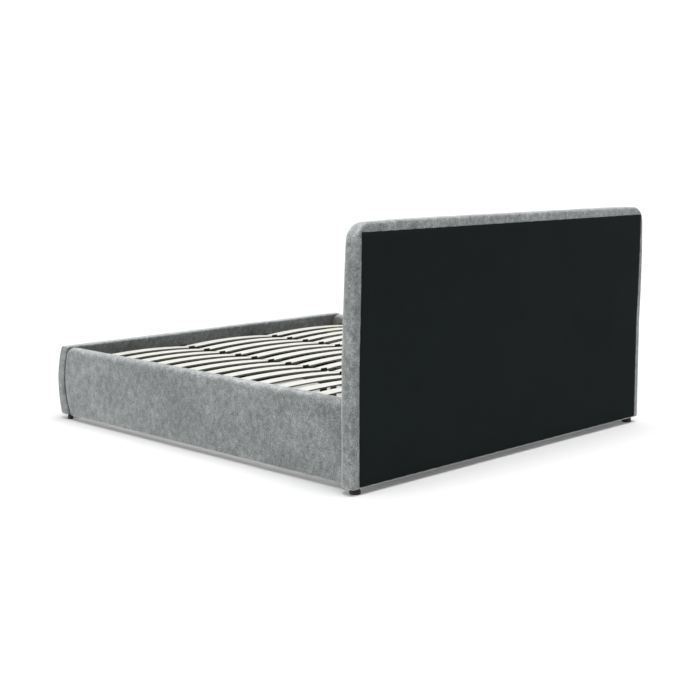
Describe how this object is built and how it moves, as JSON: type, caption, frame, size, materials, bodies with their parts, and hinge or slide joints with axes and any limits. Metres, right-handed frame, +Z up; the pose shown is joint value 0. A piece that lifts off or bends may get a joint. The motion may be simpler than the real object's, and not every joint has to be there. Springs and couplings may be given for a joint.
{
  "type": "upholstered slatted bed",
  "caption": "Low upholstered sleigh bed with a padded headboard, a footboard bowed in section, padded side rails and bowed slats on two middle beams.",
  "frame": {"origin": "on the floor, under the middle of the bed's outer box", "axes": "+X to the right seen from the foot, +Y from foot to head, +Z up"},
  "size_m": [2.084, 2.2244, 1.105],
  "materials": {
    "grey_fabric": "mottled soft-nap chenille",
    "black_cloth": "matt plain cloth",
    "frame_wood": "sawn softwood and plain board",
    "slat_wood": "white-washed bent laminated slat",
    "black_plastic": "moulded, faint sheen",
    "black_steel": "powder coated",
    "zinc_steel": "zinc plated"
  },
  "bodies": {
    "root": {"headboard_cover": "grey_fabric", "side_rail_cover_left": "grey_fabric", "side_rail_cover_right": "grey_fabric", "footboard_cover": "grey_fabric", "headboard_back_cloth": "black_cloth", "headboard_front_board": "frame_wood", "headboard_stile_left": "frame_wood", "headboard_stile_right": "frame_wood", "headboard_top_rail": "frame_wood", "headboard_bottom_rail": "frame_wood", "side_rail_board_left": "frame_wood", "side_rail_board_right": "frame_wood", "side_rail_ledge_left": "frame_wood", "side_rail_ledge_right": "frame_wood", "footboard_core": "frame_wood", "head_beam_ledge": "black_steel", "foot_beam_ledge": "black_steel", "centre_beam_left": "black_steel", "centre_beam_right": "black_steel", "centre_leg_head_left": "black_steel", "centre_leg_head_right": "black_steel", "centre_leg_middle_left": "black_steel", "centre_leg_middle_right": "black_steel", "centre_leg_foot_left": "black_steel", "centre_leg_foot_right": "black_steel", "corner_bracket_head_left": "zinc_steel", "bolt_head_left_lower": "zinc_steel", "bolt_head_left_upper": "zinc_steel", "corner_foot_head_left": "black_plastic", "corner_bracket_head_right": "zinc_steel", "bolt_head_right_lower": "zinc_steel", "bolt_head_right_upper": "zinc_steel", "corner_foot_head_right": "black_plastic", "corner_bracket_foot_left": "zinc_steel", "bolt_foot_left_lower": "zinc_steel", "bolt_foot_left_upper": "zinc_steel", "corner_foot_foot_left": "black_plastic", "corner_bracket_foot_right": "zinc_steel", "bolt_foot_right_lower": "zinc_steel", "bolt_foot_right_upper": "zinc_steel", "corner_foot_foot_right": "black_plastic", "slat_row_01": "slat_wood", "slat_row_02": "slat_wood", "slat_row_03": "slat_wood", "slat_row_04": "slat_wood", "slat_row_05": "slat_wood", "slat_row_06": "slat_wood", "slat_row_07": "slat_wood", "slat_row_08": "slat_wood", "slat_row_09": "slat_wood", "slat_row_10": "slat_wood", "slat_row_11": "slat_wood", "slat_row_12": "slat_wood", "slat_row_13": "slat_wood", "slat_row_14": "slat_wood", "slat_row_15": "slat_wood", "slat_caps_rail_left": "black_plastic", "slat_caps_rail_right": "black_plastic", "slat_caps_beam_left": "black_plastic", "slat_caps_beam_right": "black_plastic"}
  },
  "joints": []
}
